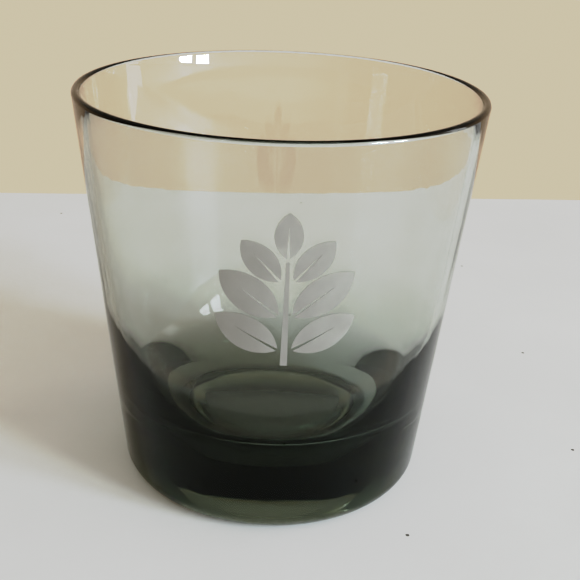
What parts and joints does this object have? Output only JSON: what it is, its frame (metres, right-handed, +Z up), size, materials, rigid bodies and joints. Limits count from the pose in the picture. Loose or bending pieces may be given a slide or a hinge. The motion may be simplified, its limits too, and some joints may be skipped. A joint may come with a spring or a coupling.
{
  "type": "whiskey tumbler",
  "caption": "Smoke-grey glass whiskey tumbler with a straight tapered wall, rounded rim, thick dark base and a frosted leaf sprig on its front.",
  "frame": {"origin": "centre of the bearing ring, on the table plane", "axes": "+Z up along the glass's axis, -Y towards the side with the frosted sprig, +X to the right of someone facing the sprig"},
  "size_m": [0.088, 0.088, 0.0894],
  "materials": {
    "smoke_glass": "polished, clear smoke grey",
    "frosted_print": "fired frosted white, satin"
  },
  "bodies": {
    "root": {"glass_body": "smoke_glass", "sprig_stem": "frosted_print", "sprig_leaf_tip": "frosted_print", "sprig_leaf_left_low": "frosted_print", "sprig_leaf_right_low": "frosted_print", "sprig_leaf_left_middle": "frosted_print", "sprig_leaf_right_middle": "frosted_print", "sprig_leaf_left_high": "frosted_print", "sprig_leaf_right_high": "frosted_print"}
  },
  "joints": []
}
